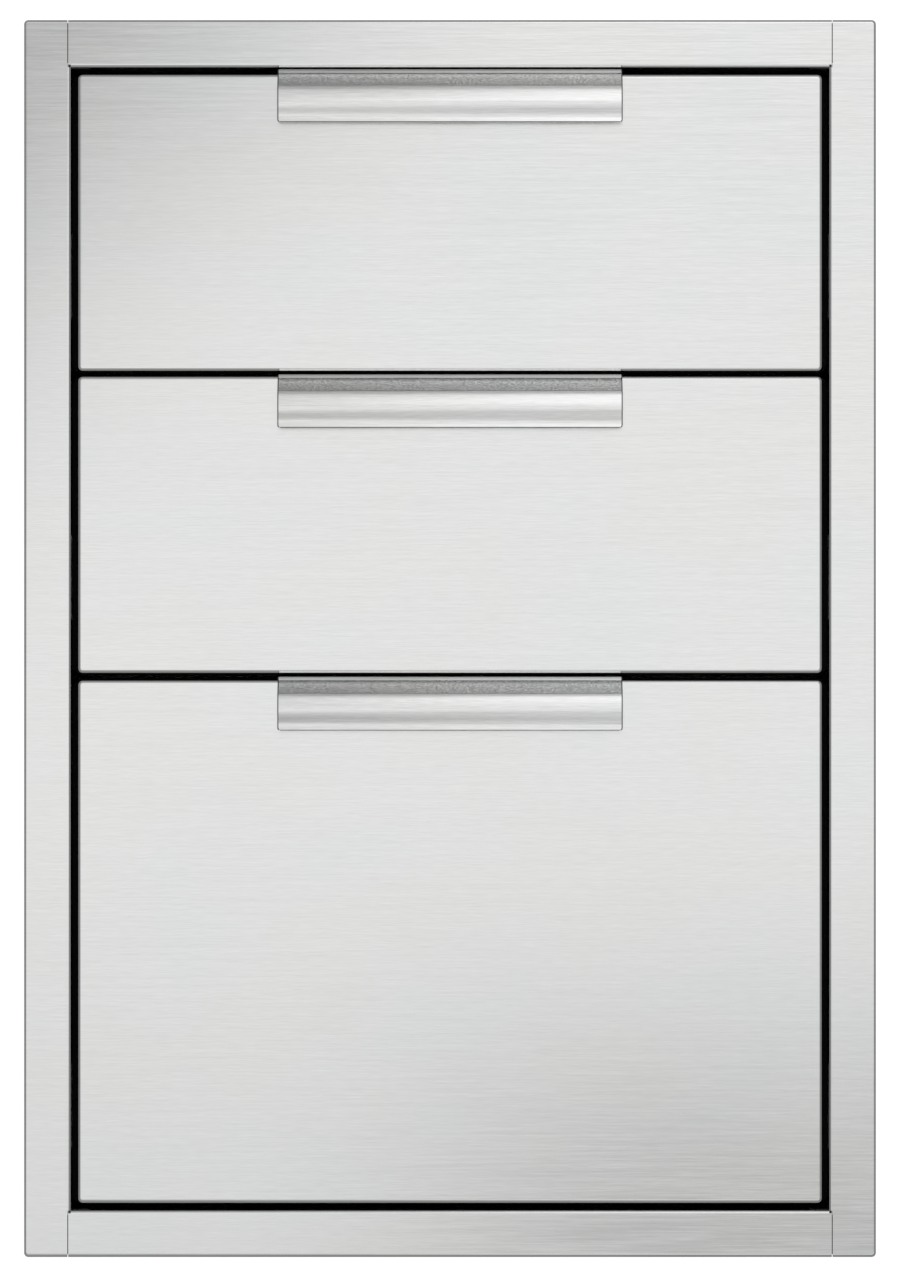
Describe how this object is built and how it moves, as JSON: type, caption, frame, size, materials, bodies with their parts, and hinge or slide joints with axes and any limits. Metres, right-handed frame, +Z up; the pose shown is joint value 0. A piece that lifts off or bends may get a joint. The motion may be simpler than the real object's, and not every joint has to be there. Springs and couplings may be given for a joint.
{
  "type": "outdoor kitchen drawer unit",
  "caption": "Built-in steel drawer unit with a flat face frame and full-width drawers on ball slides, each pulled by a hooded bar handle along its top edge.",
  "frame": {"origin": "on the box's underside, mid-width, in the plane of the face frame's rear lips", "axes": "+Z up, -Y out of the front, the way the drawers open, +X to the right as the fronts are seen"},
  "size_m": [0.445, 0.5446, 0.6461],
  "materials": {
    "brushed_steel": "fine horizontal brushing, satin",
    "box_steel": "plain mill finish",
    "slide_steel": "bright rolled steel",
    "cage_steel": "stamped steel",
    "rubber": "matte black"
  },
  "bodies": {
    "cabinet": {"left_stile": "brushed_steel", "right_stile": "brushed_steel", "bottom_rail": "brushed_steel", "top_rail": "brushed_steel", "left_side": "box_steel", "right_side": "box_steel", "floor_panel": "box_steel", "ceiling_panel": "box_steel", "back_panel": "box_steel", "slide_cabinet_1_left": "slide_steel", "slide_cabinet_1_right": "slide_steel", "slide_cabinet_2_left": "slide_steel", "slide_cabinet_2_right": "slide_steel", "slide_cabinet_3_left": "slide_steel", "slide_cabinet_3_right": "slide_steel"},
    "drawer_1": {"front_skin_1": "brushed_steel", "front_liner_1": "box_steel", "seal_1": "rubber", "handle_1": "brushed_steel", "tray_1": "box_steel", "tray_back_1": "box_steel", "slide_drawer_1_left": "slide_steel", "slide_drawer_1_right": "slide_steel"},
    "middle_members_1": {"slide_middle_1_left": "slide_steel", "slide_middle_1_right": "slide_steel"},
    "outer_cages_1": {"cage_outer_1_left": "cage_steel", "cage_outer_1_right": "cage_steel"},
    "inner_cages_1": {"cage_inner_1_left": "cage_steel", "cage_inner_1_right": "cage_steel"},
    "drawer_2": {"front_skin_2": "brushed_steel", "front_liner_2": "box_steel", "seal_2": "rubber", "handle_2": "brushed_steel", "tray_2": "box_steel", "tray_back_2": "box_steel", "slide_drawer_2_left": "slide_steel", "slide_drawer_2_right": "slide_steel"},
    "middle_members_2": {"slide_middle_2_left": "slide_steel", "slide_middle_2_right": "slide_steel"},
    "outer_cages_2": {"cage_outer_2_left": "cage_steel", "cage_outer_2_right": "cage_steel"},
    "inner_cages_2": {"cage_inner_2_left": "cage_steel", "cage_inner_2_right": "cage_steel"},
    "drawer_3": {"front_skin_3": "brushed_steel", "front_liner_3": "box_steel", "seal_3": "rubber", "handle_3": "brushed_steel", "tray_3": "box_steel", "tray_back_3": "box_steel", "slide_drawer_3_left": "slide_steel", "slide_drawer_3_right": "slide_steel"},
    "middle_members_3": {"slide_middle_3_left": "slide_steel", "slide_middle_3_right": "slide_steel"},
    "outer_cages_3": {"cage_outer_3_left": "cage_steel", "cage_outer_3_right": "cage_steel"},
    "inner_cages_3": {"cage_inner_3_left": "cage_steel", "cage_inner_3_right": "cage_steel"}
  },
  "joints": [
    {"name": "drawer_1_slide", "type": "slide", "parent": "cabinet", "child": "drawer_1", "axis": [0, -1, 0], "range_m": [0, 0.44]},
    {"name": "middle_members_1_slide", "type": "slide", "parent": "cabinet", "child": "middle_members_1", "axis": [0, -1, 0], "range_m": [0, 0.22]},
    {"name": "outer_cages_1_roll", "type": "slide", "parent": "cabinet", "child": "outer_cages_1", "axis": [0, -1, 0], "range_m": [0, 0.11]},
    {"name": "inner_cages_1_roll", "type": "slide", "parent": "cabinet", "child": "inner_cages_1", "axis": [0, -1, 0], "range_m": [0, 0.33]},
    {"name": "drawer_2_slide", "type": "slide", "parent": "cabinet", "child": "drawer_2", "axis": [0, -1, 0], "range_m": [0, 0.44]},
    {"name": "middle_members_2_slide", "type": "slide", "parent": "cabinet", "child": "middle_members_2", "axis": [0, -1, 0], "range_m": [0, 0.22]},
    {"name": "outer_cages_2_roll", "type": "slide", "parent": "cabinet", "child": "outer_cages_2", "axis": [0, -1, 0], "range_m": [0, 0.11]},
    {"name": "inner_cages_2_roll", "type": "slide", "parent": "cabinet", "child": "inner_cages_2", "axis": [0, -1, 0], "range_m": [0, 0.33]},
    {"name": "drawer_3_slide", "type": "slide", "parent": "cabinet", "child": "drawer_3", "axis": [0, -1, 0], "range_m": [0, 0.44]},
    {"name": "middle_members_3_slide", "type": "slide", "parent": "cabinet", "child": "middle_members_3", "axis": [0, -1, 0], "range_m": [0, 0.22]},
    {"name": "outer_cages_3_roll", "type": "slide", "parent": "cabinet", "child": "outer_cages_3", "axis": [0, -1, 0], "range_m": [0, 0.11]},
    {"name": "inner_cages_3_roll", "type": "slide", "parent": "cabinet", "child": "inner_cages_3", "axis": [0, -1, 0], "range_m": [0, 0.33]}
  ],
  "couplings": [
    {"joint": "middle_members_1_slide", "follows": "drawer_1_slide", "ratio": 0.5},
    {"joint": "outer_cages_1_roll", "follows": "drawer_1_slide", "ratio": 0.25},
    {"joint": "inner_cages_1_roll", "follows": "drawer_1_slide", "ratio": 0.75},
    {"joint": "middle_members_2_slide", "follows": "drawer_2_slide", "ratio": 0.5},
    {"joint": "outer_cages_2_roll", "follows": "drawer_2_slide", "ratio": 0.25},
    {"joint": "inner_cages_2_roll", "follows": "drawer_2_slide", "ratio": 0.75},
    {"joint": "middle_members_3_slide", "follows": "drawer_3_slide", "ratio": 0.5},
    {"joint": "outer_cages_3_roll", "follows": "drawer_3_slide", "ratio": 0.25},
    {"joint": "inner_cages_3_roll", "follows": "drawer_3_slide", "ratio": 0.75}
  ]
}
